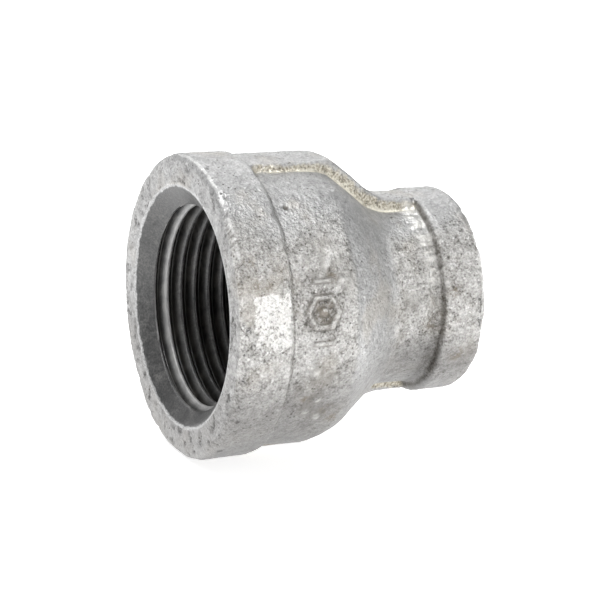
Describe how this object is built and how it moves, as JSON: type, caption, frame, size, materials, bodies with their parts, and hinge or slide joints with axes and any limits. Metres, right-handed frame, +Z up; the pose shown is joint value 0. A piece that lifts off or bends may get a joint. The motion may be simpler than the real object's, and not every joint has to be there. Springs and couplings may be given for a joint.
{
  "type": "reducing pipe coupling",
  "caption": "Cast concentric reducing coupling with a tapered female pipe thread in each end, plain end bands and two lengthwise cast ribs.",
  "frame": {"origin": "on the bore axis, half way between the two end faces", "axes": "+X along the bore axis from the large socket to the small one, +Z up through the top cast rib, +Y across"},
  "size_m": [0.0428, 0.0452, 0.0452],
  "materials": {
    "galvanised_iron": "hot-dip galvanised, dull silver grey with dark specks; machined threads and countersink are smoother and darker"
  },
  "bodies": {
    "root": {"reducer_body": "galvanised_iron"}
  },
  "joints": []
}
